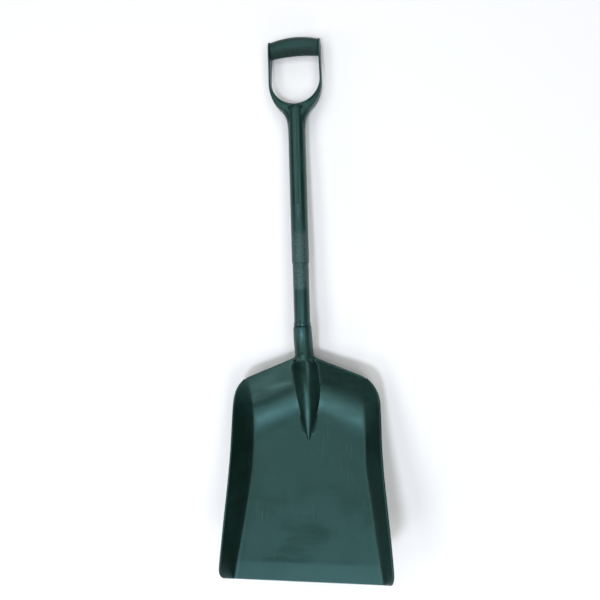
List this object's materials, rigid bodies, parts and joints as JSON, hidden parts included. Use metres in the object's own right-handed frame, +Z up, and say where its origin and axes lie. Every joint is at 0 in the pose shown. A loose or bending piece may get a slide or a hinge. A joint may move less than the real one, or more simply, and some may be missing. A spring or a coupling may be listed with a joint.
{
  "type": "grain scoop shovel",
  "caption": "Wide polypropylene grain scoop with raised side walls, a swan-neck and a straight round shaft that ends in a D-handle.",
  "frame": {"origin": "on the floor, under the middle of the shovel's bounding box, with the shovel lying face up on its heel and its grip", "axes": "+Y along the shovel from the blade's lip to the grip, +Z up, +X across the blade"},
  "size_m": [0.3566, 1.1452, 0.1733],
  "materials": {
    "blade_plastic": "semi-gloss moulded polypropylene, faintly streaked and scuffed",
    "shaft_plastic": "satin moulded polypropylene",
    "handle_plastic": "satin moulded polypropylene with fine grip ribs",
    "screw_steel": "stainless"
  },
  "bodies": {
    "root": {"blade": "blade_plastic", "neck_collar": "shaft_plastic", "shaft_tube": "shaft_plastic", "tube_plug": "shaft_plastic", "handle_yoke": "handle_plastic", "grip_bar": "handle_plastic", "tube_screw": "screw_steel", "sleeve_screw": "screw_steel", "grip_screw_left": "screw_steel", "grip_screw_right": "screw_steel"}
  },
  "joints": []
}
